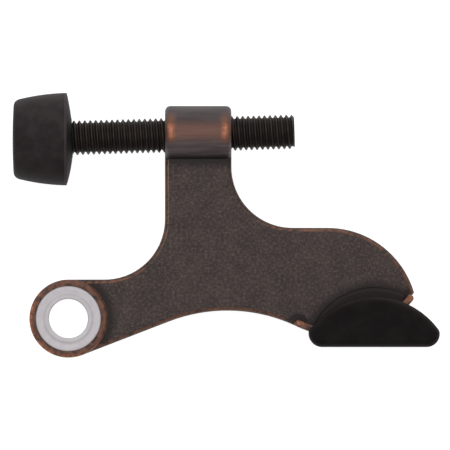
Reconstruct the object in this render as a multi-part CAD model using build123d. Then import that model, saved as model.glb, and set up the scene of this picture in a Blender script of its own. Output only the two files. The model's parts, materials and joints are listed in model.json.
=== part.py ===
from build123d import *
from math import acos, atan2, cos, degrees, radians, sin, sqrt, tan
import os

# A door stop that hangs on a hinge pin. A cast arm turns on the pin, a rubber pad at the end of
# its foot leans on the door casing, and a rubber bumper on a threaded rod catches the door.
#
# Millimetres and degrees. The origin is the centre of the hinge-pin bore, +Z runs up the hinge
# pin, +X runs along the arm from the ring to the foot, and +Y points from the arm to the rod.
# The arm, its ring, its boss and its foot are symmetric about the plane Z = 0.

# ---- Hinge-pin ring and its bushing ----
pin_bore_radius = 3.57
bushing_wall = 1.15
bushing_flange_lip = 1.28
bushing_flange_thickness = 1.3
bushing_fit = 0.02
bushing_rounding = 0.25
bore_chamfer = 0.3
ring_wall = 1.15
ring_proud = 0.7
ring_rim_rounding = 0.5

# ---- Arm plate ----
plate_thickness = 5.0
plate_edge_rounding = 0.8
post_left = 17.72
post_width = 12.2
post_crook_radius = 11.1
shoulder_height = 16.67
shoulder_crook_radius = 11.2
shoulder_round_start = 47.6
shoulder_round_radius = 16.5
belly_top_x = 29.15
belly_top_y = 1.46

# ---- Threaded boss at the top of the post ----
boss_wall = 2.07
boss_axis_height = 33.82
boss_end_rounding = 1.0
boss_mouth_chamfer = 0.5

# ---- Foot flange that carries the jamb pad ----
flange_middle_x = 49.5
flange_low_y = -2.5
flange_bend_radius = 17.0
flange_thickness = 1.3
flange_width = 12.6
flange_start_angle = 244.5
flange_end_angle = 320.8
flange_edge_rounding = 0.4

# ---- Threaded rod, a quarter inch across its crests, with a plain round head in the bumper ----
thread_pitch = 1.0
thread_crest_radius = 3.17
thread_depth_share = 0.51
thread_crest_flat = 0.2
thread_flank_angle = 30.0
thread_gap = 0.06
thread_bury = 0.06
thread_span_turns = 4
rod_tilt = 1.6
rod_length = 45.0
rod_end_reach = 11.6
rod_end_chamfer = 0.45
head_shoulder = 2.33
head_thickness = 2.5
head_rounding = 0.6

# ---- Rubber bumper ----
bumper_wall = 1.45
bumper_waist_swell = 1.05
bumper_rim_swell = 1.47
bumper_depth = 9.95
bumper_waist_share = 0.5
bumper_front_rounding = 1.2
bumper_front_wall = 4.3
bumper_sag = 0.08
bumper_back_dome = 1.15
bumper_dome_share = 0.75
bumper_rim_rounding = 0.25
bumper_head_gap = 0.10

# ---- Rubber jamb pad ----
pad_left_reach = 5.4
pad_length = 24.0
pad_sole = 2.04
pad_side_wall = 1.7
pad_end_height = 2.9
pad_body_crown = 9.2
pad_corner_radius = 2.4
pad_end_radius = 1.4
pad_rim_rounding = 1.2
pad_lip_crown = 10.94
pad_lip_wall = 2.1
pad_lip_inset = 0.4
pad_lip_rounding = 0.8
pad_lip_length = 17.4
pad_fit = 0.12
flange_slot_overrun = 10.0

# ---- How near two sizes must be to count as the same ----
same = 0.001

# ---- Sizes that follow from the ones above ----
barrel_radius = pin_bore_radius + bushing_wall
bushing_flange_radius = barrel_radius + bushing_flange_lip
ring_bore_radius = barrel_radius + bushing_fit
ring_recess_radius = bushing_flange_radius + bushing_fit
ring_recess_depth = bushing_flange_thickness + bushing_fit
ring_radius = ring_recess_radius + ring_wall
ring_height = plate_thickness + 2 * ring_proud
post_right = post_left + post_width
boss_x = post_left + post_width / 2
boss_radius = thread_crest_radius + boss_wall
flange_centre = (flange_middle_x, flange_low_y + flange_bend_radius)
thread_root_radius = thread_crest_radius - thread_depth_share * thread_pitch
rod_plane = Plane(
    origin=(boss_x, boss_axis_height, 0),
    x_dir=(0, 0, -1),
    z_dir=(cos(radians(rod_tilt)), sin(radians(rod_tilt)), 0),
)
rod_end = post_width / 2 + rod_end_reach
head_radius = thread_crest_radius + head_shoulder
head_seat = rod_end - rod_length
head_face = head_seat - head_thickness
bumper_front_radius = head_radius + bumper_head_gap + bumper_wall
bumper_waist_radius = bumper_front_radius + bumper_waist_swell
bumper_rim_radius = bumper_front_radius + bumper_rim_swell
pad_left = flange_middle_x - pad_left_reach
pad_right = pad_left + pad_length
pad_face_y = flange_low_y - flange_thickness / 2 - pad_sole
pad_width = flange_width + 2 * pad_side_wall
pad_lip_width = plate_thickness + 2 * pad_lip_wall


def polar(centre, radius, angle):
    """The point at an angle, in degrees, on a circle."""
    return (centre[0] + radius * cos(radians(angle)), centre[1] + radius * sin(radians(angle)))


def heading(start, end):
    """The angle in degrees of the line from one point to another."""
    return degrees(atan2(end[1] - start[1], end[0] - start[0]))


def spacing(start, end):
    """The distance between two points."""
    return sqrt((end[0] - start[0]) ** 2 + (end[1] - start[1]) ** 2)


def circles_meet(centre_a, radius_a, centre_b, radius_b, side):
    """Where two circles cross, to the left (side 1) or right (side -1) of the line from a to b."""
    apart = spacing(centre_a, centre_b)
    along = (radius_a**2 - radius_b**2 + apart**2) / (2 * apart)
    turn = degrees(acos(along / radius_a))
    return polar(centre_a, radius_a, heading(centre_a, centre_b) + side * turn)


def crook_arc(corner, radius, toward_x, toward_y):
    """The arc that rounds an inner corner between a level run and an upright one."""
    centre = (corner[0] + toward_x * radius, corner[1] + toward_y * radius)
    middle_angle = degrees(atan2(-toward_y, -toward_x))
    return ThreePointArc(
        (centre[0], corner[1]),
        polar(centre, radius, middle_angle),
        (corner[0], centre[1]),
    )


def arc_between(centre, radius, first_angle, last_angle):
    """An arc about a centre, through the middle of its two end angles."""
    angles = (first_angle, (first_angle + last_angle) / 2, last_angle)
    return ThreePointArc(*[polar(centre, radius, angle) for angle in angles])


def belly_arc_radius():
    """The radius of the belly arc, which touches the lower face of the flange from outside."""
    across = flange_centre[0] - belly_top_x
    up = flange_centre[1] - belly_top_y
    reach = flange_bend_radius + flange_thickness / 2
    return (across**2 + up**2 - reach**2) / (2 * (reach - up))


def arm_outline():
    """The outline of the plate, from the top of the ring clockwise back to it."""
    ring = (0, 0)
    flange = flange_centre
    belly_radius = belly_arc_radius()
    belly = (belly_top_x, belly_top_y - belly_radius)
    shoulder = (shoulder_round_start, shoulder_height - shoulder_round_radius)
    # the straight underside touches the ring from below and the belly arc from above
    lean = degrees(acos((ring_radius + belly_radius) / spacing(belly, ring)))
    underside = heading(belly, ring) - lean
    tip = circles_meet(shoulder, shoulder_round_radius, flange, flange_bend_radius, -1)
    left_crook = crook_arc((post_left, ring_radius), post_crook_radius, -1, 1)
    right_crook = crook_arc((post_right, shoulder_height), shoulder_crook_radius, 1, 1)
    shoulder_arc = arc_between(shoulder, shoulder_round_radius, 90, heading(shoulder, tip))
    sole_arc = arc_between(flange, flange_bend_radius, heading(flange, tip), heading(flange, belly))
    belly_arc = arc_between(belly, belly_radius, heading(belly, flange), underside)
    ring_top = 90
    ring_arc = arc_between(ring, ring_radius, underside + 180, ring_top)
    return Wire([
        Line(ring_arc @ 1, left_crook @ 0),
        left_crook,
        Line(left_crook @ 1, (post_left, boss_axis_height)),
        Line((post_left, boss_axis_height), (post_right, boss_axis_height)),
        Line((post_right, boss_axis_height), right_crook @ 1),
        right_crook,
        Line(right_crook @ 0, shoulder_arc @ 0),
        shoulder_arc,
        sole_arc,
        Line(sole_arc @ 1, belly_arc @ 0),
        belly_arc,
        Line(belly_arc @ 1, ring_arc @ 0),
        ring_arc,
    ])


def rim_edges(part, height):
    """The edges of a part that lie in the two planes at plus and minus a height."""
    return [e for e in part.edges() if abs(abs(e.center().Z) - height) < same]


def both_ways(face, width):
    """A face in the plane Z = 0, extruded to half a width on each side."""
    return extrude(face, amount=width / 2, both=True)


def thread_helix(radius, low_turn, high_turn, offset):
    """One helix of the thread, from one whole turn to another, along +Z."""
    height = (high_turn - low_turn) * thread_pitch
    foot = (0, 0, low_turn * thread_pitch + offset)
    return Edge.make_helix(thread_pitch, height, radius, center=foot)


def thread_ridge(low_turn, high_turn, gap):
    """The thread's ridge between two whole turns, thicker by a gap on every side. It is one solid
    whose helical faces are cut into spans of a few turns."""
    crest = thread_crest_radius + gap
    foot = thread_root_radius - thread_bury
    crest_half = thread_crest_flat / 2 + gap * tan(radians(45 - thread_flank_angle / 2))
    foot_half = crest_half + (crest - foot) * tan(radians(thread_flank_angle))
    corners = ((crest, -crest_half), (crest, crest_half), (foot, foot_half), (foot, -foot_half))
    stops = [*range(low_turn, high_turn, thread_span_turns), high_turn]
    sides = []
    for start, stop in zip(stops, stops[1:]):
        helices = [thread_helix(radius, start, stop, offset) for radius, offset in corners]
        sides += [Face.make_surface_from_curves(helices[i - 1], helices[i]) for i in range(len(corners))]
        if start == low_turn:
            low_end = Face(Wire.make_polygon([h @ 0 for h in helices], close=True))
    high_end = Face(Wire.make_polygon([h @ 1 for h in helices], close=True))
    return Solid(Shell([*sides, low_end, high_end]))


def round_bar(radius, low, high):
    """A plain cylinder along +Z between two heights."""
    bar = Cylinder(radius, high - low, align=(Align.CENTER, Align.CENTER, Align.MIN))
    return Pos(0, 0, low) * bar


def circles_of(part, radius):
    """The circular edges of a part that have a radius."""
    return [e for e in part.edges().filter_by(GeomType.CIRCLE) if abs(e.radius - radius) < same]


def flange_bar(start_angle, end_angle, gap):
    """The curved bar across the end of the foot, larger by a gap on every side."""
    spine = CenterArc(flange_centre, flange_bend_radius, start_angle, end_angle - start_angle)
    return both_ways(SlotArc(spine, flange_thickness + 2 * gap), flange_width + 2 * gap)


def tapped_hole():
    """What the tap takes out of the boss: the thread and the bore inside it."""
    reach = int(post_width / 2 / thread_pitch) + 2
    bore = thread_root_radius + thread_gap
    mouth = thread_crest_radius + thread_gap
    cone_height = boss_mouth_chamfer + mouth - bore
    tall = 2 * cone_height
    cone = Cone(bore, bore + tall, tall, align=(Align.CENTER, Align.CENTER, Align.MIN))
    cut = round_bar(bore, -reach * thread_pitch, reach * thread_pitch)
    cut += thread_ridge(-reach, reach, thread_gap)
    for side in (0, 180):
        cut += Rot(side, 0, 0) * Pos(0, 0, post_width / 2 - cone_height) * cone
    return rod_plane * cut


def arm_casting():
    plate = both_ways(make_face(arm_outline()), plate_thickness)
    plate = fillet(rim_edges(plate, plate_thickness / 2), plate_edge_rounding)
    ring = Cylinder(ring_radius, ring_height)
    ring = fillet(ring.edges().filter_by(GeomType.CIRCLE), ring_rim_rounding)
    boss = Rot(0, 90, 0) * Cylinder(boss_radius, post_width)
    boss = fillet(boss.edges().filter_by(GeomType.CIRCLE), boss_end_rounding)
    flange = flange_bar(flange_start_angle, flange_end_angle, 0)
    flange = fillet(rim_edges(flange, flange_width / 2), flange_edge_rounding)
    casting = plate + ring + Pos(boss_x, boss_axis_height, 0) * boss + flange
    casting -= Cylinder(ring_bore_radius, ring_height)
    recess_floor = ring_height / 2 - ring_recess_depth
    casting -= round_bar(ring_recess_radius, recess_floor, ring_height)
    return casting - tapped_hole()


def hinge_pin_bushing():
    top = ring_height / 2
    bottom = -ring_height / 2
    flange = round_bar(bushing_flange_radius, top - bushing_flange_thickness, top)
    bushing = round_bar(barrel_radius, bottom, top) + flange
    bushing -= round_bar(pin_bore_radius, bottom, top)
    bushing = chamfer(circles_of(bushing, pin_bore_radius), bore_chamfer)
    flange_rim = [e for e in circles_of(bushing, bushing_flange_radius) if e.center().Z > top - same]
    return fillet(flange_rim, bushing_rounding)


def threaded_rod():
    low_turn = int(head_face / thread_pitch) - 1
    high_turn = int(rod_end / thread_pitch) + 2
    core = round_bar(thread_root_radius, low_turn * thread_pitch, high_turn * thread_pitch)
    screw = core + thread_ridge(low_turn, high_turn, 0)
    blank = round_bar(thread_crest_radius + thread_bury, head_seat - thread_bury, rod_end)
    blank = chamfer(blank.edges().group_by(Axis.Z)[-1], rod_end_chamfer)
    head = round_bar(head_radius, head_face, head_seat)
    head = fillet(head.edges().filter_by(GeomType.CIRCLE), head_rounding)
    return rod_plane * ((screw & blank) + head)


def bumper_outside():
    """The bumper as a solid of revolution: crowned side, nearly flat nose, domed back."""
    nose = -bumper_depth
    profile = Polyline((0, nose), (bumper_front_radius, nose)) + ThreePointArc(
        (bumper_front_radius, nose),
        (bumper_waist_radius, nose * bumper_waist_share),
        (bumper_rim_radius, 0),
    )
    profile += ThreePointArc(
        (bumper_rim_radius, 0),
        (bumper_rim_radius / 2, bumper_back_dome * bumper_dome_share),
        (0, bumper_back_dome),
    )
    profile += Line((0, bumper_back_dome), (0, nose))
    body = revolve(Plane.XZ * make_face(profile), Axis.Z)
    body = fillet(body.edges().group_by(Axis.Z)[0], bumper_front_rounding)
    return fillet(circles_of(body, bumper_rim_radius), bumper_rim_rounding)


def rubber_bumper():
    head_centre = rod_plane.from_local_coords((0, 0, (head_face + head_seat) / 2))
    nose_x = rod_plane.from_local_coords((0, 0, head_face)).X - bumper_front_wall
    outside_origin = (nose_x + bumper_depth, head_centre.Y - bumper_sag, 0)
    seat = Plane(origin=outside_origin, x_dir=(0, 0, 1), z_dir=(1, 0, 0))
    gap = bumper_head_gap
    pocket = round_bar(head_radius + gap, head_face - gap, head_seat + gap)
    passage = round_bar(thread_crest_radius + gap, head_seat, head_seat + bumper_depth)
    return seat * bumper_outside() - rod_plane * (pocket + passage)


def pad_arch(inset, crown_height):
    """The arch of the pad, from its right end over a crown to its left end."""
    end_y = pad_face_y + pad_end_height
    crown = ((pad_left + pad_right) / 2, pad_face_y + crown_height)
    return ThreePointArc((pad_right - inset, end_y), crown, (pad_left + inset, end_y))


def pad_body():
    """A thick half moon with a flat face at the bottom."""
    arch = pad_arch(0, pad_body_crown)
    foot = Polyline(arch @ 1, (pad_left, pad_face_y), (pad_right, pad_face_y), arch @ 0)
    outline = make_face(arch + foot)
    outline = fillet(outline.vertices().group_by(Axis.Y)[0], pad_corner_radius)
    outline = fillet(outline.vertices().group_by(Axis.Y)[-1], pad_end_radius)
    body = both_ways(outline, pad_width)
    return fillet(rim_edges(body, pad_width / 2), pad_rim_rounding)


def pad_lip():
    """The thinner lip that laps over both faces of the arm, cut short of the foot's tip."""
    arch = pad_arch(pad_lip_inset, pad_lip_crown)
    lip = both_ways(make_face(arch + Line(arch @ 1, arch @ 0)), pad_lip_width)
    arch_edges = [e for e in rim_edges(lip, pad_lip_width / 2) if e.geom_type == GeomType.CIRCLE]
    lip = fillet(arch_edges, pad_lip_rounding)
    edge = Align.MIN, Align.CENTER, Align.CENTER
    beyond = Box(pad_length, 4 * pad_length, 2 * pad_width, align=edge)
    return lip - Pos(pad_left + pad_lip_length, 0, 0) * beyond


def jamb_pad():
    arm_slot = both_ways(make_face(arm_outline()), plate_thickness + 2 * pad_fit)
    flange_slot = flange_bar(
        flange_start_angle - flange_slot_overrun,
        flange_end_angle + flange_slot_overrun,
        pad_fit,
    )
    return pad_body() + pad_lip() - arm_slot - Pos(0, pad_fit, 0) * arm_slot - flange_slot


os.makedirs("parts", exist_ok=True)
for build in (arm_casting, hinge_pin_bushing, threaded_rod, rubber_bumper, jamb_pad):
    export_step(build(), f"parts/{build.__name__}.step")
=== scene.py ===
# %% [markdown]
# # A hinge-pin door stop, dressed for its picture
#
# The shapes of this door stop were drawn in CAD and packed as a fixed frame. This lesson loads
# that frame, makes finer meshes for the three turned and moulded pieces, writes a finish for
# every surface, and sets up the studio. All lengths are in metres, in the frame's own axes: the
# hinge pin runs along Z through the origin, the arm runs along X, and the rod lies towards +Y.

import json
from math import pi, radians

import bpy
import numpy as np
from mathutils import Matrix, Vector


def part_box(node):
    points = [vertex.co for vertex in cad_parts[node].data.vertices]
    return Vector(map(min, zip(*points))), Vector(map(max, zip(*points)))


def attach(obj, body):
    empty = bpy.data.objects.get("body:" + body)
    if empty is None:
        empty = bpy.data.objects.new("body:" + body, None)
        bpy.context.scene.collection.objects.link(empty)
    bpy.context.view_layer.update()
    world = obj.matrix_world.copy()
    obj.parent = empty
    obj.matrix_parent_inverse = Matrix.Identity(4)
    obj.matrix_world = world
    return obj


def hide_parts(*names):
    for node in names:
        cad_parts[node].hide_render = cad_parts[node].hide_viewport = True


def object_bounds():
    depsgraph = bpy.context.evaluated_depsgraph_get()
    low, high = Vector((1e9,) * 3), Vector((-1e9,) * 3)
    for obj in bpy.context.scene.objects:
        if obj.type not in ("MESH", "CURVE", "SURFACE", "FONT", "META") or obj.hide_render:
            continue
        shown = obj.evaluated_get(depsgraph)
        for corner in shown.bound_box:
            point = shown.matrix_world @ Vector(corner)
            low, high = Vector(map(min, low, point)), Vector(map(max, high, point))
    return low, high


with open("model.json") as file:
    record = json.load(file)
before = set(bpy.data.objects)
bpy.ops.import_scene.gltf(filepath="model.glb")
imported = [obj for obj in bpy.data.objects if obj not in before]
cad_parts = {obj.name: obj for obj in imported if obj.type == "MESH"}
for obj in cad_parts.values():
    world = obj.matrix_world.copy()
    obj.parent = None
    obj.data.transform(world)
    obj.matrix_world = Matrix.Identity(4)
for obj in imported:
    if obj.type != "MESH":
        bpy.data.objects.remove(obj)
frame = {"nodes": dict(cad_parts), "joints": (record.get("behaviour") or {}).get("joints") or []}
cad_low, cad_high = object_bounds()
MM = 0.001
print("CAD box, mm:", [round(c / MM, 2) for c in (*cad_low, *cad_high)])

# %% [markdown]
# ## Two ways to look along a piece
#
# A turned piece is easiest to describe by how far along its axis a ring lies and how wide that
# ring is. The screw's axis comes from its joint, so the mesh always turns about the same line as
# the model does. The screw leans a little from the X axis, while the bumper stands square to it.

# %% Axes of the turned pieces
joints = {joint["name"]: joint for joint in frame["joints"]}
screw_centre = np.array(joints["rod_turn"]["pos_m"])
screw_way = np.array(joints["rod_turn"]["axis"])
UP = np.array((0.0, 0.0, 1.0))


def axis_frame(origin, along):
    """An origin with three unit vectors: along the axis, up, and the third across both."""
    return origin, along, UP, np.cross(along, UP)


def cad_points(node):
    """Every point of a CAD node's mesh, one row each."""
    mesh = frame["nodes"][node].data
    corners = np.empty(3 * len(mesh.vertices), np.float32)
    mesh.vertices.foreach_get("co", corners)
    return corners.reshape(-1, 3)


def reach_along(node, origin, along):
    """How far a CAD node reaches along an axis, both ways, measured from an origin."""
    steps = (cad_points(node) - origin) @ along
    return steps.min(), steps.max()


screw_axis = axis_frame(screw_centre, screw_way)
screw_low, screw_high = reach_along("threaded_rod", screw_centre, screw_way)
bumper_low, bumper_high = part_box("rubber_bumper")
bumper_centre = np.array((bumper_low.x, (bumper_low.y + bumper_high.y) / 2, 0.0))
nose_on_rod = np.dot(bumper_centre - screw_centre, screw_way)
bumper_axis = axis_frame(bumper_centre, np.array((1.0, 0.0, 0.0)))
pin_axis = (np.zeros(3), UP, np.array((1.0, 0.0, 0.0)), np.array((0.0, 1.0, 0.0)))
print("screw reaches from", round(screw_low / MM, 2), "to", round(screw_high / MM, 2), "mm")

# %% [markdown]
# ## From a grid of points to a mesh
#
# Every new piece here is a grid: rings of points, one ring after another along the piece. The
# whole grid is one numpy array, so no loop visits single points. Neighbouring rings are joined by
# quads, the last column joins the first, and an end is closed by a fan to one middle point.

# %% Mesh helpers
ROUNDING_POINTS = 5


def ring_points(axis, along, radius, angle):
    """Points at a distance along an axis and a radius from it:
    origin + along·forward + radius·(cos(angle)·first + sin(angle)·second)."""
    origin, forward, first, second = axis
    along, radius, angle = (np.asarray(term)[..., None] for term in (along, radius, angle))
    return origin + along * forward + radius * (np.cos(angle) * first + np.sin(angle) * second)


def ring_quads(rows, columns):
    """Quads between neighbouring rings, as point numbers. Each column joins the next, the last the first."""
    row, column = np.meshgrid(np.arange(rows - 1), np.arange(columns), indexing="ij")
    after = (column + 1) % columns
    here, above = row * columns, (row + 1) * columns
    return np.stack((here + column, here + after, above + after, above + column), axis=-1).reshape(-1, 4)


def round_angles(columns):
    """The angle of each column of a ring."""
    return 2 * pi * np.arange(columns) / columns


def bent(start, corner, end, share):
    """A quadratic curve that leaves its start towards a corner and reaches its end from there:
    (1 - t)²·start + 2t(1 - t)·corner + t²·end, with t the share from 0 to 1."""
    return (1 - share) ** 2 * start + 2 * share * (1 - share) * corner + share**2 * end


def fan(ring, middle):
    """Triangles from each side of a ring of point numbers to one middle point."""
    return np.stack((ring, np.roll(ring, -1), np.full_like(ring, middle)), axis=-1)


def new_piece(name, points, face_sets, crease=32.0):
    """A mesh object from points and sets of faces, smooth except where it bends more than the crease."""
    mesh = bpy.data.meshes.new(name)
    faces = [face for face_set in face_sets for face in face_set.tolist()]
    mesh.from_pydata(points.tolist(), [], faces)
    mesh.shade_smooth()
    mesh.set_sharp_from_angle(angle=radians(crease))
    piece = bpy.data.objects.new(name, mesh)
    bpy.context.scene.collection.objects.link(piece)
    print(name, "has", len(points), "points and", len(faces), "faces")
    return piece


def unit(step):
    """A step shortened to length one."""
    return step / np.linalg.norm(step)


def rounded(corners):
    """A profile whose corners are rounded. Each corner is (along, radius, rounding), and its rounding is a
    curve from a point before the corner to one after it."""
    spots = np.array([corner[:2] for corner in corners], float)
    profile = [spots[:1]]
    share = np.linspace(0, 1, ROUNDING_POINTS)[:, None]
    for i in range(1, len(corners) - 1):
        size = corners[i][2]
        if size == 0:
            profile.append(spots[i : i + 1])
            continue
        before = spots[i] + size * unit(spots[i - 1] - spots[i])
        after = spots[i] + size * unit(spots[i + 1] - spots[i])
        profile.append(bent(before, spots[i], after, share))
    profile.append(spots[-1:])
    return np.concatenate(profile)


# %% [markdown]
# ## The screw
#
# The rod is a quarter inch across its crests and threaded from end to end. A thread is a profile
# carried along a helix, so the grid itself is wound: going once round a ring also climbs one
# pitch, and the last column joins the ring one turn further on. That keeps the crest exactly on a
# row of points, which a plain grid of circles would cut into steps. Both ends are clipped: points
# past the end drop onto one closing circle, and the triangles that this flattens are left out.
# Where the helix starts is measured on the CAD rod, so that the new crests lie in the grooves
# that the boss was tapped with.

# %% Screw sizes
PITCH = 1.0 * MM
THREAD_DEPTH = 0.51 * PITCH
CREST_RADIUS = 3.17 * MM
ROOT_RADIUS = CREST_RADIUS - THREAD_DEPTH
END_CHAMFER = 0.5 * MM
HEAD_RADIUS = 5.5 * MM
HEAD_THICKNESS = 2.5 * MM
HEAD_ROUNDING = 0.6 * MM
ON_CREST = 0.01 * MM
SCREW_COLUMNS = 72
# places across one pitch, in shares of it from the middle of the crest: the rows of points lie there
PAST_CREST = (0.09, 0.14, 0.23, 0.33, 0.39, 0.43)
THREAD_PHASES = np.array((-0.5, *(-phase for phase in reversed(PAST_CREST)), 0.0, *PAST_CREST))
PER_TURN = len(THREAD_PHASES)
CREST_HALF = 0.09
FOOT_HALF = 0.40
STRAIGHT_SHARE = 0.75


def crest_start(node):
    """How far along its axis the crest of a CAD screw lies at angle 0, within one pitch.
    It is the mean of along/pitch - angle/2π, taken round the circle of one turn."""
    origin, forward, first, second = screw_axis
    steps = cad_points(node) - origin
    along, u, v = steps @ forward, steps @ first, steps @ second
    on_crest = np.abs(np.hypot(u, v) - CREST_RADIUS) < ON_CREST
    turns = along[on_crest] / PITCH - np.arctan2(v, u)[on_crest] / (2 * pi)
    return PITCH * np.angle(np.exp(2j * pi * turns).mean()) / (2 * pi)


CREST_START = crest_start("threaded_rod")
screw_seat = screw_low + HEAD_THICKNESS
print("the crest starts at", round(CREST_START / MM, 3), "mm")


# %% Screw grid
def thread_radius(phase):
    """Radius across one pitch: root + depth·(s·t + (1 - s)·t²(3 - 2t)), where t falls from 1 on the crest
    to 0 in the groove and s is the share of the flank's straight line in its soft curve."""
    slope = np.clip((FOOT_HALF - np.abs(phase)) / (FOOT_HALF - CREST_HALF), 0, 1)
    softened = STRAIGHT_SHARE * slope + (1 - STRAIGHT_SHARE) * slope**2 * (3 - 2 * slope)
    return ROOT_RADIUS + (CREST_RADIUS - ROOT_RADIUS) * softened


def screw_surface():
    """The wound grid of the thread, clipped at the head's seat and at the free end. It gives the points, the
    number that each place in the grid stands for, and the two closing circles."""
    first_turn = int(np.floor(screw_seat / PITCH)) - 2
    last_turn = int(np.ceil(screw_high / PITCH)) + 1
    turns = np.arange(first_turn, last_turn + 1)
    climb = (turns[:, None] + THREAD_PHASES[None, :]).ravel()
    rows, columns = len(climb), SCREW_COLUMNS
    angle = round_angles(columns)
    along = CREST_START + PITCH * (climb[:, None] + angle[None, :] / (2 * pi))
    radius = np.broadcast_to(thread_radius(np.tile(THREAD_PHASES, len(turns)))[:, None], along.shape)
    chamfer = CREST_RADIUS - END_CHAMFER + (screw_high - along)
    radius = np.minimum(radius, np.maximum(chamfer, CREST_RADIUS - END_CHAMFER))
    points = ring_points(screw_axis, along, radius, angle[None, :]).reshape(-1, 3)
    # the two closing circles come after the grid, and every point past an end stands for one of theirs
    low_ring = rows * columns + np.arange(columns)
    high_ring = low_ring + columns
    number = np.arange(rows * columns).reshape(rows, columns)
    number = np.where(along <= screw_seat, low_ring[None, :], number)
    number = np.where(along >= screw_high, high_ring[None, :], number)
    return points, number, low_ring, high_ring


def screw_faces(number):
    """Triangles of the wound grid. The last column joins the first column of the row one turn further on."""
    here = number[:-PER_TURN]
    beyond = np.roll(number, -1, axis=1)
    beyond[:-PER_TURN, -1] = number[PER_TURN:, 0]
    beyond = beyond[:-PER_TURN]
    a, b, c, d = here[:-1], beyond[:-1], beyond[1:], here[1:]
    triangles = np.concatenate([np.stack(corners, -1).reshape(-1, 3) for corners in ((a, b, c), (a, c, d))])
    flattened = (triangles == np.roll(triangles, 1, axis=1)).any(axis=1)
    return triangles[~flattened]


def drop_unused(points, face_sets):
    """The points that some face uses, and the faces with their point numbers closed up to match."""
    used = np.unique(np.concatenate([faces.ravel() for faces in face_sets]))
    closed_up = np.zeros(len(points), int)
    closed_up[used] = np.arange(len(used))
    return points[used], [closed_up[faces] for faces in face_sets]


def make_screw():
    """The thread with the head turned onto its low end and a flat disc over each end."""
    points, number, low_ring, high_ring = screw_surface()
    head = rounded([
        (screw_seat, ROOT_RADIUS, 0),
        (screw_seat, HEAD_RADIUS, HEAD_ROUNDING),
        (screw_low, HEAD_RADIUS, HEAD_ROUNDING),
        (screw_low, ROOT_RADIUS, 0),
    ])
    rings = np.concatenate((head[:1], [(screw_high, CREST_RADIUS - END_CHAMFER)], head[1:]))
    angle = round_angles(SCREW_COLUMNS)
    turned = ring_points(screw_axis, rings[:, :1], rings[:, 1:], angle[None, :]).reshape(-1, 3)
    poles = ring_points(screw_axis, np.array((screw_low, screw_high)), np.zeros(2), np.zeros(2))
    points = np.concatenate((points, turned, poles))
    low_pole = len(points) - 2
    after_circles = np.arange(high_ring[-1] + 1, low_pole).reshape(-1, SCREW_COLUMNS)
    head_rings = np.concatenate((low_ring[None, :], after_circles))
    after = np.roll(head_rings, -1, axis=1)
    head_quads = np.stack((head_rings[1:], after[1:], after[:-1], head_rings[:-1]), -1).reshape(-1, 4)
    face_sets = [
        screw_faces(number),
        head_quads,
        fan(head_rings[-1][::-1], low_pole),
        fan(high_ring, low_pole + 1),
    ]
    points, face_sets = drop_unused(points, face_sets)
    return new_piece("rod_screw", points, face_sets)


rod_screw = make_screw()
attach(rod_screw, "rod")
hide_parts("threaded_rod")

# %% [markdown]
# ## The bumper
#
# A moulded rubber cup pushed over the screw's head. Its profile is turned: a nearly flat nose, a
# crowned side that widens to a crisp rim, and a domed back that ends at the hole for the rod. Its
# outside stands square while the rod leans, so the rings of the back swing gradually from the
# bumper's axis to the rod's, and the pocket inside fits the head all round.

# %% Bumper sizes
BUMPER_DEPTH = 9.95 * MM
BUMPER_NOSE_RADIUS = 7.05 * MM
BUMPER_RIM_RADIUS = (bumper_high.z - bumper_low.z) / 2
BUMPER_WAIST_RADIUS = 8.10 * MM
BUMPER_BACK_DOME = 1.15 * MM
BUMPER_NOSE_DOME = 0.16 * MM
NOSE_FLAT_EDGE = BUMPER_NOSE_RADIUS - 1.05 * MM
SIDE_START = 1.25 * MM
RIM_START = BUMPER_DEPTH - 0.16 * MM
BACK_START = BUMPER_DEPTH + 0.02 * MM
CORNER_OVERSHOOT = 0.02 * MM
POCKET_GAP = 0.10 * MM
MOUTH_LIP = 0.42 * MM
MOUTH_SHARE = 0.86
SQUARE_MARGIN = 0.25 * MM
LEANING_MARGIN = 0.7 * MM
BUMPER_COLUMNS = 128
NOSE_RINGS, BEND_RINGS, SIDE_RINGS, RIM_RINGS, BACK_RINGS = 12, 10, 16, 5, 14
FIRST_RING_SHARE = 0.04


# %% Bumper profile
def bumper_outline():
    """Outside profile from the nose's middle to the hole: a shallow dome, a crowned side, a domed back."""
    nose_share = np.linspace(FIRST_RING_SHARE, 1, NOSE_RINGS)
    nose = np.stack((BUMPER_NOSE_DOME * nose_share**2, NOSE_FLAT_EDGE * nose_share), -1)
    corner = np.array((BUMPER_NOSE_DOME, BUMPER_NOSE_RADIUS)) + CORNER_OVERSHOOT
    side_start = np.array((SIDE_START, side_radius(SIDE_START)))
    bend = bent(nose[-1], corner, side_start, np.linspace(0, 1, BEND_RINGS)[1:-1, None])
    side_along = np.linspace(SIDE_START, RIM_START, SIDE_RINGS)
    side = np.stack((side_along, side_radius(side_along)), -1)
    rim_corner = np.array((BUMPER_DEPTH, BUMPER_RIM_RADIUS + 0.01 * MM))
    back_start = np.array((BUMPER_DEPTH + 0.05 * MM, BUMPER_RIM_RADIUS - 0.22 * MM))
    rim = bent(side[-1], rim_corner, back_start, np.linspace(0, 1, RIM_RINGS)[1:, None])
    back_radius = np.linspace(back_start[1], CREST_RADIUS + MOUTH_LIP, BACK_RINGS)[1:]
    back = np.stack((back_height(back_radius), back_radius), -1)
    return np.concatenate((nose, bend, side, rim, back))


def side_radius(along):
    """Radius of the crowned side: a parabola through the nose, waist and rim radii."""
    share = along / BUMPER_DEPTH
    line = BUMPER_NOSE_RADIUS + (BUMPER_RIM_RADIUS - BUMPER_NOSE_RADIUS) * share
    crown = 4 * (BUMPER_WAIST_RADIUS - (BUMPER_NOSE_RADIUS + BUMPER_RIM_RADIUS) / 2)
    return line + crown * share * (1 - share)


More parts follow.
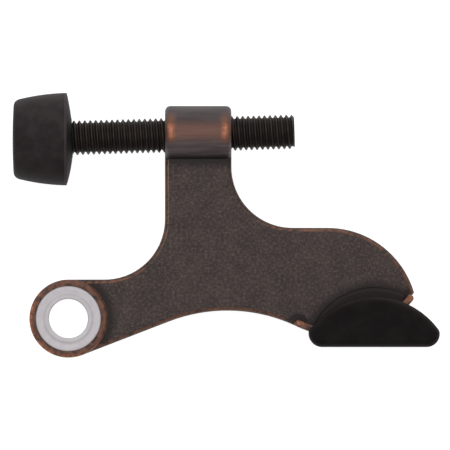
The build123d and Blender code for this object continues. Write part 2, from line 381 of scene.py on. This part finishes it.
def back_height(radius):
    """Height of the domed back: a parabola that falls to the rim."""
    return BUMPER_DEPTH + BUMPER_BACK_DOME * (1 - (radius / BUMPER_RIM_RADIUS) ** 2)


def pocket_outline():
    """Inside profile along the rod's axis, from the hole's lip to the middle of the pocket floor."""
    hole = CREST_RADIUS + POCKET_GAP
    wall = HEAD_RADIUS + POCKET_GAP
    seat = screw_seat + POCKET_GAP
    floor = screw_low - POCKET_GAP
    mouth = nose_on_rod + BUMPER_DEPTH + BUMPER_BACK_DOME * MOUTH_SHARE
    return rounded([
        (mouth, hole + MOUTH_LIP, 0),
        (mouth, hole, 0.35 * MM),
        (seat, hole, 0.1 * MM),
        (seat, wall, 0.3 * MM),
        (floor, wall, 0.5 * MM),
        (floor, 0.4 * MM, 0),
    ])[1:]


def make_bumper():
    """Rings about the bumper's axis, then about the rod's, with the back swinging from one to the other."""
    angle = round_angles(BUMPER_COLUMNS)
    outside = bumper_outline()
    inside = pocket_outline()
    along, radius = outside[:, :1], outside[:, 1:]
    square = ring_points(bumper_axis, along, radius, angle[None, :])
    leaning = ring_points(screw_axis, nose_on_rod + along, radius, angle[None, :])
    inwards = BUMPER_RIM_RADIUS - SQUARE_MARGIN - radius
    swing = np.clip(inwards / (BUMPER_RIM_RADIUS - CREST_RADIUS - LEANING_MARGIN), 0, 1)
    swing = (swing * (along > BACK_START))[:, :, None]
    shell = (1 - swing) * square + swing * leaning
    hollow = ring_points(screw_axis, inside[:, :1], inside[:, 1:], angle[None, :])
    rings = np.concatenate((shell, hollow))
    floor_middle = screw_centre + screw_way * inside[-1, 0]
    points = np.concatenate((rings.reshape(-1, 3), [bumper_centre, floor_middle]))
    first_ring = np.arange(BUMPER_COLUMNS)
    last_ring = (len(rings) - 1) * BUMPER_COLUMNS + first_ring
    quads = ring_quads(len(rings), BUMPER_COLUMNS)
    face_sets = [quads, fan(first_ring[::-1], len(points) - 2), fan(last_ring, len(points) - 1)]
    return new_piece("bumper_moulding", points, face_sets, crease=50.0)


bumper_moulding = make_bumper()
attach(bumper_moulding, "bumper")
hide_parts("rubber_bumper")

# %% [markdown]
# ## The bushing
#
# A white nylon sleeve with a wide flange, pressed into the ring so that metal never rubs on the
# hinge pin. It is one closed profile turned about the pin, with softly rounded moulded edges, so
# light runs round them as it does on real plastic.

# %% Bushing
bushing_low, bushing_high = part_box("hinge_pin_bushing")
PIN_RADIUS = 3.57 * MM
BARREL_RADIUS = 4.72 * MM
FLANGE_RADIUS = bushing_high.x
FLANGE_THICKNESS = 1.3 * MM
DISH_DEPTH = 0.10 * MM
DISH_START = PIN_RADIUS + 0.75 * MM
DISH_END = FLANGE_RADIUS - 0.6 * MM
BUSHING_COLUMNS = 128


def make_bushing():
    """A closed profile turned about the pin: bore, flange top with a shallow dish, flange edge, barrel."""
    top, bottom = bushing_high.z, bushing_low.z
    shoulder = top - FLANGE_THICKNESS
    middle = (PIN_RADIUS + FLANGE_RADIUS) / 2
    profile = rounded([
        (0.0, PIN_RADIUS, 0),
        (top, PIN_RADIUS, 0.38 * MM),
        (top, DISH_START, 0.2 * MM),
        (top - DISH_DEPTH, middle, 0.3 * MM),
        (top, DISH_END, 0.2 * MM),
        (top, FLANGE_RADIUS, 0.22 * MM),
        (shoulder, FLANGE_RADIUS, 0.1 * MM),
        (shoulder, BARREL_RADIUS, 0.05 * MM),
        (bottom, BARREL_RADIUS, 0.2 * MM),
        (bottom, PIN_RADIUS, 0.3 * MM),
        (0.0, PIN_RADIUS, 0),
    ])[:-1]
    angle = round_angles(BUSHING_COLUMNS)
    rings = ring_points(pin_axis, profile[:, :1], profile[:, 1:], angle[None, :])
    quads = ring_quads(len(rings) + 1, BUSHING_COLUMNS) % (len(rings) * BUSHING_COLUMNS)
    return new_piece("pin_bushing", rings.reshape(-1, 3), [quads], crease=50.0)


pin_bushing = make_bushing()
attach(pin_bushing, "arm")
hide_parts("hinge_pin_bushing")

# %% [markdown]
# ## Writing finishes
#
# A finish is a small program of shader nodes. Two classes keep it readable: `Value` wraps one
# socket that varies over the surface, so that arithmetic on it adds Math nodes, and `Finish` adds
# every other node with its settings first and its inputs after.

# %% Finish helpers
# the Mix node has sockets of the same name for each kind of data, so its colour sockets go by number
MIX_SHARE, MIX_FIRST, MIX_SECOND, MIX_RESULT = 0, 6, 7, 2


class Value:
    """One number that varies over a surface. Arithmetic on it adds Math nodes."""

    def __init__(self, finish, socket):
        self.finish = finish
        self.socket = socket

    def maths(self, operation, *operands):
        node = self.finish.add("ShaderNodeMath", {"operation": operation}, dict(enumerate(operands)))
        return Value(self.finish, node.outputs[0])

    def __add__(self, other):
        return self.maths("ADD", self, other)

    def __sub__(self, other):
        return self.maths("SUBTRACT", self, other)

    def __rsub__(self, other):
        return self.maths("SUBTRACT", other, self)

    def __mul__(self, other):
        return self.maths("MULTIPLY", self, other)

    def __pow__(self, other):
        return self.maths("POWER", self, other)

    def __abs__(self):
        return self.maths("ABSOLUTE", self)

    def larger(self, other):
        return self.maths("MAXIMUM", self, other)

    def rise(self, low, high):
        """A smooth step from 0 at low to 1 at high."""
        inputs = {"Value": self, "From Min": low, "From Max": high}
        node = self.finish.add("ShaderNodeMapRange", {"interpolation_type": "SMOOTHSTEP"}, inputs)
        return Value(self.finish, node.outputs["Result"])

    def near(self, middle, inner, outer):
        """1 within an inner distance of the middle, falling smoothly to 0 at an outer distance."""
        return 1 - abs(self - middle).rise(inner, outer)

    __radd__ = __add__
    __rmul__ = __mul__


class Finish:
    """One material being written, with one method that adds any node to it."""

    def __init__(self, name):
        self.material = bpy.data.materials.new(name)
        self.material.use_nodes = True
        self.tree = self.material.node_tree
        self.tree.nodes.clear()
        where = self.add("ShaderNodeTexCoord")
        self.place = where.outputs["Object"]
        self.facing = where.outputs["Normal"]

    def add(self, kind, settings=None, inputs=None):
        node = self.tree.nodes.new(kind)
        for name, setting in (settings or {}).items():
            setattr(node, name, setting)
        for name, given in (inputs or {}).items():
            source = given.socket if isinstance(given, Value) else given
            if isinstance(source, bpy.types.NodeSocket):
                self.tree.links.new(source, node.inputs[name])
            else:
                node.inputs[name].default_value = source
        return node

    def parts_of(self, vector):
        """The X, Y and Z of a vector, as three values."""
        outputs = self.add("ShaderNodeSeparateXYZ", inputs={"Vector": vector}).outputs
        return [Value(self, output) for output in outputs]

    def noise(self, size, detail=2.0, roughness=0.5, vector=None):
        """Cloudy noise from 0 to 1 whose blotches are about one size across."""
        inputs = {"Vector": vector or self.place, "Scale": 1 / size, "Detail": detail, "Roughness": roughness}
        return Value(self, self.add("ShaderNodeTexNoise", inputs=inputs).outputs[0])

    def mix(self, amount, first, second):
        """A colour between two colours."""
        inputs = {MIX_SHARE: amount, MIX_FIRST: first, MIX_SECOND: second}
        return self.add("ShaderNodeMix", {"data_type": "RGBA"}, inputs).outputs[MIX_RESULT]

    def bump(self, height, depth):
        """A normal that follows a height from 0 to 1, with full height equal to the depth in metres."""
        inputs = {"Height": height, "Distance": depth, "Strength": 1.0}
        return self.add("ShaderNodeBump", inputs=inputs).outputs[0]

    def surface(self, **inputs):
        """The one shader of the finish, joined to the output."""
        named = {name.replace("_", " "): given for name, given in inputs.items()}
        shader = self.add("ShaderNodeBsdfPrincipled", inputs=named)
        self.add("ShaderNodeOutputMaterial", inputs={"Surface": shader.outputs[0]})
        print("finish", self.material.name, "has", len(self.tree.nodes), "nodes")
        return self.material


def colour(red, green, blue):
    """A linear colour from the three screen values of a paint swatch, 0 to 255, by the sRGB curve."""
    swatch = np.array((red, green, blue)) / 255
    linear = np.where(swatch <= 0.04045, swatch / 12.92, ((swatch + 0.055) / 1.055) ** 2.4)
    return (*linear.tolist(), 1.0)


# %% [markdown]
# ## Aged bronze
#
# The casting is plated with copper and then darkened almost to black, and the dark coat is rubbed
# off where hands and boxes touch it. So the finish starts as a mottled brown-black with a fine
# sandy grain, and shows copper along rounded edges, on the ring's rim, round the crown of the
# boss and on the ends of the foot's flange. The rounded edges are found from the surface's own
# direction: flat faces point straight up or down, walls point sideways, and the edge between them
# passes through every angle in between.

# %% Bronze finish
BOSS_X = float(screw_centre[0])
BOSS_Y = float(screw_centre[1])
BOSS_FOOT = BOSS_Y - 4.6 * MM
PLATE_HALF = 2.5 * MM
RING_RADIUS = 7.17 * MM
FLANGE_END_SPOTS = ((42.18 * MM, -0.84 * MM), (62.67 * MM, 3.76 * MM))
PAD_ARCH_CENTRE = (56.10 * MM, -6.66 * MM)
PAD_ARCH_RADIUS = 12.41 * MM


def away_from(x, y, spot):
    """The distance of x and y from a spot."""
    across = x - spot[0]
    up = y - spot[1]
    return (across * across + up * up) ** 0.5


def boss_wear(x, y, nx, scuff, streak):
    """Copper bared at both ends of the boss's crown, with a faint brown band between them."""
    climb = y - BOSS_Y
    crown = (climb + 0.9 * MM * (streak - 0.5)).near(0.6 * MM, 0.7 * MM, 2.9 * MM)
    tall = climb.near(1.6 * MM, 1.0 * MM, 3.0 * MM)
    ends = abs(x - BOSS_X).rise(3.2 * MM, 5.0 * MM) * (1 - abs(nx).rise(0.45, 0.85))
    patches = ends * (0.50 + 0.22 * scuff.rise(0.35, 0.65)) * crown.larger(tall * 0.55)
    return patches.larger(crown * 0.23)


def painted_recess_shade(x, y, z, from_pin, on_ring, on_boss, near_ends):
    """Painted shade, partly dark patina, where shade falls in the recesses: by the ring, the bushing, the
    boss's foot, the flange and the pad.
    """
    beside_ring = (1 - from_pin.rise(RING_RADIUS + 0.4 * MM, RING_RADIUS + 2.3 * MM)) * (1 - on_ring)
    beside_bushing = (1 - from_pin.rise(FLANGE_RADIUS + 0.16 * MM, FLANGE_RADIUS + 0.50 * MM)) * on_ring
    under_boss = y.rise(BOSS_FOOT - 2.2 * MM, BOSS_FOOT - 0.3 * MM) * (1 - on_boss)
    boss_foot = (1 - y.rise(BOSS_FOOT + 0.3 * MM, BOSS_FOOT + 1.3 * MM)) * on_boss
    on_face = 1 - abs(z).rise(PLATE_HALF, PLATE_HALF + 0.2 * MM)
    over_flange = near_ends.rise(0.0, 0.6) * on_face
    from_arch = away_from(x, y, PAD_ARCH_CENTRE) - PAD_ARCH_RADIUS
    beside_pad = (1 - from_arch.rise(0.1 * MM, 2.0 * MM)) * on_face
    recess_shade = beside_ring
    for corner in (under_boss, boss_foot * 1.1, over_flange, beside_bushing, beside_pad * 0.85):
        recess_shade = recess_shade.larger(corner)
    return recess_shade * 0.78


def bronze_finish():
    """Dark mottled plating with copper where it is worn, painted reflection and light on the boss, a painted
    highlight on the post's edge, and painted shade, partly patina, near black in the recesses.
    """
    bronze = Finish("aged_bronze_plating")
    x, y, z = bronze.parts_of(bronze.place)
    nx, _, nz = bronze.parts_of(bronze.facing)
    flatness = abs(nz)
    along_boss = {"Vector": bronze.place, "Scale": (0.10, 1.0, 1.0)}
    drawn = bronze.add("ShaderNodeMapping", inputs=along_boss).outputs[0]
    grain = bronze.noise(0.50 * MM, 3.0, 0.62)
    sand = bronze.noise(0.16 * MM, 2.0, 0.6)
    blotch = bronze.noise(3.2 * MM, 2.0, 0.5)
    scuff = bronze.noise(1.1 * MM, 4.0, 0.7)
    streak = bronze.noise(0.75 * MM, 2.0, 0.55, drawn)
    on_boss = y.rise(BOSS_FOOT - 0.08 * MM, BOSS_FOOT + 0.02 * MM)
    from_pin = (x * x + y * y) ** 0.5
    on_ring = 1 - from_pin.rise(RING_RADIUS + 0.03 * MM, RING_RADIUS + 0.10 * MM)
    plate = (1 - on_boss) * (1 - on_ring)

    edge = flatness.rise(0.40, 0.85) * (1 - flatness.rise(0.97, 0.998)) * plate
    in_crook = nx.rise(0.08, 0.30) * y.rise(13.0 * MM, 18.0 * MM)
    edge = edge * scuff.rise(0.32, 0.62) * (1 - in_crook * 0.7)
    # painted highlight: a tan line where the post's left rounded edge starts to turn
    post_painted_highlight = flatness.rise(0.90, 0.965) * (1 - flatness.rise(0.985, 0.9995))
    post_painted_highlight = post_painted_highlight * (0 - nx).rise(0.03, 0.15)
    post_painted_highlight = post_painted_highlight * y.rise(10.0 * MM, 14.0 * MM) * plate * (0.35 + 0.65 * grain.rise(0.35, 0.6))
    boss = boss_wear(x, y, nx, scuff, streak) * on_boss
    rim = from_pin.rise(RING_RADIUS - 0.60 * MM, RING_RADIUS - 0.35 * MM)
    # the rim's copper is stronger towards the lower left
    toward_lower_left = (0 - x - y * 0.8).rise(-4.0 * MM, 6.5 * MM)
    rim_wear = on_ring * (0.30 + 0.70 * scuff.rise(0.36, 0.60)) * (0.50 + 0.50 * rim * (0.5 + 0.8 * toward_lower_left))
    rim_wear = rim_wear * (0.45 + 0.55 * flatness.rise(0.15, 0.70))
    near_ends = 0
    for spot in FLANGE_END_SPOTS:
        near_ends = away_from(x, y, spot).near(0.0, 0.9 * MM, 2.4 * MM) + near_ends
    past_plate = abs(z).rise(PLATE_HALF + 0.1 * MM, PLATE_HALF + 0.3 * MM)
    flange_wear = near_ends * scuff.rise(0.25, 0.60) * past_plate
    wear = (edge * 0.44).larger(boss).larger(rim_wear * 0.66).larger(flange_wear * 0.60)

    recess_shade = painted_recess_shade(x, y, z, from_pin, on_ring, on_boss, near_ends)

    dark = bronze.mix(blotch.rise(0.30, 0.72) * 0.55, colour(60, 50, 48), colour(80, 68, 64))
    dark = bronze.mix(grain.rise(0.45, 0.75) * 0.60, dark, colour(112, 97, 90))
    dark = bronze.mix((1 - grain.rise(0.28, 0.50)) * 0.55, dark, colour(32, 27, 26))
    # painted reflection on the boss: a greyer tone streaked along it, painted darker on top and lighter below
    # as light falls on the cylinder
    boss_painted_sheen = bronze.mix(streak.rise(0.30, 0.70), colour(58, 51, 53), colour(78, 69, 70))
    boss_underside_painted_light = bronze.mix(streak.rise(0.30, 0.70), colour(84, 74, 75), colour(112, 99, 99))
    boss_painted_sheen = bronze.mix(y.rise(BOSS_Y - 2.6 * MM, BOSS_Y + 2.6 * MM), boss_underside_painted_light, boss_painted_sheen)
    dark = bronze.mix(on_boss * 0.85, dark, boss_painted_sheen)
    # painted shade, near black, where shade falls in the recesses, partly dark patina
    dark = bronze.mix(recess_shade, dark, colour(24, 20, 19))
    brown = bronze.mix(wear.rise(0.0, 0.42), dark, colour(122, 84, 68))
    shown = bronze.mix(wear.rise(0.38, 1.0), brown, colour(212, 138, 104))
    shown = bronze.mix(post_painted_highlight * 0.55, shown, colour(150, 124, 104))
    height = grain * 0.6 + sand * 0.4
    return bronze.surface(
        Base_Color=shown,
        Metallic=0.55 + 0.4 * wear,
        Roughness=0.54 + 0.16 * (grain - 0.5) - 0.12 * wear,
        Normal=bronze.bump(height, 0.05 * MM),
    )


frame["nodes"]["arm_casting"].material_slots[0].material = bronze_finish()

# %% [markdown]
# ## Black oxide on the screw
#
# The screw is steel turned black by a hot salt bath, then oiled. The black is thinnest on the
# sharp crests, where a little brown shows, and the grooves are darker. How far a point lies from
# the screw's axis tells crest from groove, so a Mapping node first turns the coordinates until the
# axis lies along X.

# %% Screw finish
SCREW_LEAN = float(np.arctan2(screw_way[1], screw_way[0]))


def screw_finish():
    """Black steel, browner on the crests and darker in the grooves."""
    oxide = Finish("black_oxide")
    onto_x = {"Vector": oxide.place, "Location": screw_centre.tolist(), "Rotation": (0, 0, SCREW_LEAN)}
    turned = oxide.add("ShaderNodeMapping", {"vector_type": "TEXTURE"}, onto_x).outputs[0]
    _, across, up = oxide.parts_of(turned)
    from_axis = (across * across + up * up) ** 0.5
    crest = from_axis.rise(ROOT_RADIUS + 0.30 * MM, CREST_RADIUS)
    groove = 1 - from_axis.rise(ROOT_RADIUS, ROOT_RADIUS + 0.22 * MM)
    grain = oxide.noise(0.2 * MM, 3.0, 0.6)
    patch = oxide.noise(2.2 * MM, 2.0, 0.5)
    tone = oxide.mix(patch.rise(0.35, 0.7), colour(36, 28, 24), colour(50, 40, 34))
    tone = oxide.mix(crest * grain.rise(0.35, 0.7) * 0.4, tone, colour(62, 49, 42))
    tone = oxide.mix(groove * 0.35, tone, colour(20, 15, 12))
    return oxide.surface(
        Base_Color=tone,
        Metallic=0.5,
        Roughness=0.52 + 0.2 * (grain - 0.5) + 0.15 * groove,
        Normal=oxide.bump(grain, 0.012 * MM),
    )


rod_screw.data.materials.append(screw_finish())


# %% [markdown]
# ## Moulded rubber
#
# The bumper and the pad are black rubber out of a mould. Rubber is never evenly black: it has a
# fine orange-peel skin, a faint grey bloom that comes out of it with age, and it picks up dust.
# One function writes both finishes, and each gets its own depth of black and its own painted light and shade.

# %% Rubber finish
LIP_HEIGHT = 4.7 * MM


def rubber_finish(name, tones, gloss, shade):
    """Black rubber with three tones: deep, bloomed and dusty. The shade function takes the place and how
    level the surface is, and gives masks, each with the colour that it brings in."""
    deep, bloom, dusty = tones
    rubber = Finish(name)
    skin = rubber.noise(0.24 * MM, 2.0, 0.5)
    cloud = rubber.noise(3.2 * MM, 3.0, 0.6)
    speck = rubber.noise(0.5 * MM, 1.0, 0.5)
    tone = rubber.mix(cloud.rise(0.32, 0.72), deep, bloom)
    tone = rubber.mix(speck.rise(0.68, 0.80) * 0.15, tone, dusty)
    level = abs(rubber.parts_of(rubber.facing)[2])
    for mask, tint in shade(rubber.parts_of(rubber.place), level):
        tone = rubber.mix(mask, tone, tint)
    return rubber.surface(
        Base_Color=tone,
        Roughness=0.62 + 0.14 * cloud,
        Specular_IOR_Level=gloss,
        Normal=rubber.bump(skin, 0.018 * MM),
    )


def bumper_shade(place, _):
    """Dark round the nose and behind the rim, painted shade on the lower side, and a painted highlight as a
    grey line on the rim.
    """
    x, y, _ = place
    nose_x, _, _ = bumper_low
    rim_x = nose_x + BUMPER_DEPTH
    nose = 1 - x.rise(nose_x + 0.1 * MM, nose_x + 1.3 * MM)
    # painted shade on the lower side of the bumper
    underside_painted_shade = (float(bumper_centre[1]) - y).rise(2.5 * MM, 6.5 * MM)
    # painted highlight: a grey line along the rim
    rim_painted_highlight = x.near(rim_x - 0.22 * MM, 0.05 * MM, 0.30 * MM)
    behind = x.rise(rim_x - 0.02 * MM, rim_x + 0.12 * MM)
    return (
        (nose * 0.65, colour(26, 16, 18)),
        (underside_painted_shade * 0.45, colour(22, 17, 18)),
        (rim_painted_highlight * 0.45, colour(84, 74, 74)),
        (behind, colour(7, 4, 4)),
    )


def pad_shade(place, level):
    """Painted light: the up-facing lip that laps over the arm and the rounded edges are painted a little
    lighter than the thick body, where light falls on them.
    """
    height = abs(place[2])
    # painted light on the up-facing lip and on the rounded edges
    lip_painted_light = (1 - height.rise(LIP_HEIGHT, LIP_HEIGHT + 0.2 * MM)) * level.rise(0.3, 0.8)
    rounding_painted_light = height.rise(6.7 * MM, 7.1 * MM) * (1 - height.rise(7.6 * MM, 7.98 * MM))
    return (lip_painted_light * 0.85, colour(52, 45, 45)), (rounding_painted_light * 0.5, colour(44, 38, 38))


bumper_tones = colour(40, 34, 35), colour(54, 47, 48), colour(84, 78, 77)
pad_tones = colour(20, 16, 16), colour(30, 26, 26), colour(60, 56, 55)
bumper_skin = rubber_finish("bumper_skin", bumper_tones, 0.14, bumper_shade)
pad_skin = rubber_finish("pad_skin", pad_tones, 0.10, pad_shade)
bumper_moulding.data.materials.append(bumper_skin)
frame["nodes"]["jamb_pad"].material_slots[0].material = pad_skin


# %% [markdown]
# ## White nylon
#
# Nylon lets light in and scatters it, so it looks milky and a little grey next to dark metal. The
# mould leaves faint rings where the plastic flowed out from the bore, and a soft cloudiness.

# %% Nylon finish
RIPPLE_STEP = 0.34 * MM


def nylon_finish():
    """Milky white plastic, greyer at the rim, with painted shade in a ring where the bore's rounding meets
    the dish.
    """
    nylon = Finish("milky_nylon")
    x, y, _ = nylon.parts_of(nylon.place)
    from_pin = (x * x + y * y) ** 0.5
    cloud = nylon.noise(1.6 * MM, 2.0, 0.5)
    skin = nylon.noise(0.3 * MM, 2.0, 0.5)
    near_bore = 1 - from_pin.rise(PIN_RADIUS + 0.1 * MM, PIN_RADIUS + 0.9 * MM)
    # painted shade in a ring where the bore's rounding meets the dish
    step_ring_shade = from_pin.near(PIN_RADIUS + 0.85 * MM, 0.05 * MM, 0.28 * MM)
    flange_rim = from_pin.rise(FLANGE_RADIUS - 0.28 * MM, FLANGE_RADIUS - 0.02 * MM)
    ripple = from_pin * (2 * pi / RIPPLE_STEP)
    rings = ripple.maths("SINE", ripple)
    tone = nylon.mix(cloud.rise(0.3, 0.7), colour(213, 206, 212), colour(222, 217, 219))
    tone = nylon.mix(near_bore * 0.35, tone, colour(206, 205, 203))
    tone = nylon.mix(step_ring_shade * 0.30, tone, colour(170, 164, 167))
    tone = nylon.mix(flange_rim * 0.45, tone, colour(160, 152, 155))
    return nylon.surface(
        Base_Color=tone,
        Roughness=0.38 + 0.12 * cloud,
        Subsurface_Weight=0.35,
        Subsurface_Radius=(1.0, 0.9, 0.95),
        Subsurface_Scale=0.8 * MM,
        Normal=nylon.bump(skin * 0.5 + rings * 0.12, 0.02 * MM),
    )


pin_bushing.data.materials.append(nylon_finish())

# %% [markdown]
# ## Floor, light and camera
#
# The door stop lies on a white table, and the camera looks straight down the hinge pin. The floor
# sits just under the lowest point. A white room gives even light, one large soft panel near the
# camera brightens the faces that look up, and a weaker one lights the top edges.

# %% Studio
VIEW_CENTRE = (28.74 * MM, 17.18 * MM)
VIEW_WIDTH = 82.64 * MM
CAMERA_HEIGHT = 3.0
SENSOR = 36.0
TABLE_HALF = 1.6
TABLE_GAP = 0.05 * MM
TABLE_GLOW = 0.75
ROOM_STRENGTH = 0.42
WHITE = (1, 1, 1, 1)


def make_floor():
    """A large square just below the object, white and almost evenly bright."""
    level = cad_low[2] - TABLE_GAP
    centre_x = (cad_low[0] + cad_high[0]) / 2
    centre_y = (cad_low[1] + cad_high[1]) / 2
    ways = ((-1, -1), (1, -1), (1, 1), (-1, 1))
    corners = [(centre_x + TABLE_HALF * i, centre_y + TABLE_HALF * j, level) for i, j in ways]
    floor = new_piece("table_top", np.array(corners), [np.array([[0, 1, 2, 3]])])
    paper = Finish("white_table")
    fibre = paper.noise(8 * MM, 3.0, 0.5)
    tone = paper.mix(fibre, (0.88, 0.88, 0.88, 1), (0.92, 0.92, 0.92, 1))
    glow = {"Emission_Color": WHITE, "Emission_Strength": TABLE_GLOW}
    floor.data.materials.append(paper.surface(Base_Color=tone, Roughness=0.9, **glow))


def add_panel(name, size, power, place, target):
    """A square soft light that faces a target."""
    light = bpy.data.lights.new(name, "AREA")
    light.size = size
    light.energy = power
    panel = bpy.data.objects.new(name, light)
    panel.location = place
    panel.rotation_euler = (Vector(target) - Vector(place)).to_track_quat("-Z", "Y").to_euler()
    bpy.context.scene.collection.objects.link(panel)


def make_room(strength):
    """Even white light from all round."""
    world = bpy.data.worlds.new("white_room")
    world.use_nodes = True
    background = world.node_tree.nodes["Background"]
    background.inputs["Color"].default_value = WHITE
    background.inputs["Strength"].default_value = strength
    bpy.context.scene.world = world


def add_camera(name, clip_start=0.01, clip_end=10.0):
    """A camera high above the middle of the picture, with a lens long enough to frame it."""
    lens = bpy.data.cameras.new(name)
    lens.sensor_width = SENSOR
    lens.lens = SENSOR * CAMERA_HEIGHT / VIEW_WIDTH
    lens.clip_start = clip_start
    lens.clip_end = clip_end
    camera = bpy.data.objects.new(name, lens)
    camera.location = (*VIEW_CENTRE, CAMERA_HEIGHT)
    bpy.context.scene.collection.objects.link(camera)
    bpy.context.scene.camera = camera
    print("lens", round(lens.lens, 1), "mm")


make_floor()
make_room(ROOM_STRENGTH)
middle = (*VIEW_CENTRE, 0.0)
add_panel("front_panel", size=0.35, power=0.66, place=(-0.02, 0.12, 0.44), target=middle)
add_panel("top_panel", size=0.30, power=0.30, place=(0.03, 0.40, 0.14), target=middle)
bpy.context.scene.view_settings.view_transform = "Standard"
add_camera("picture_camera")
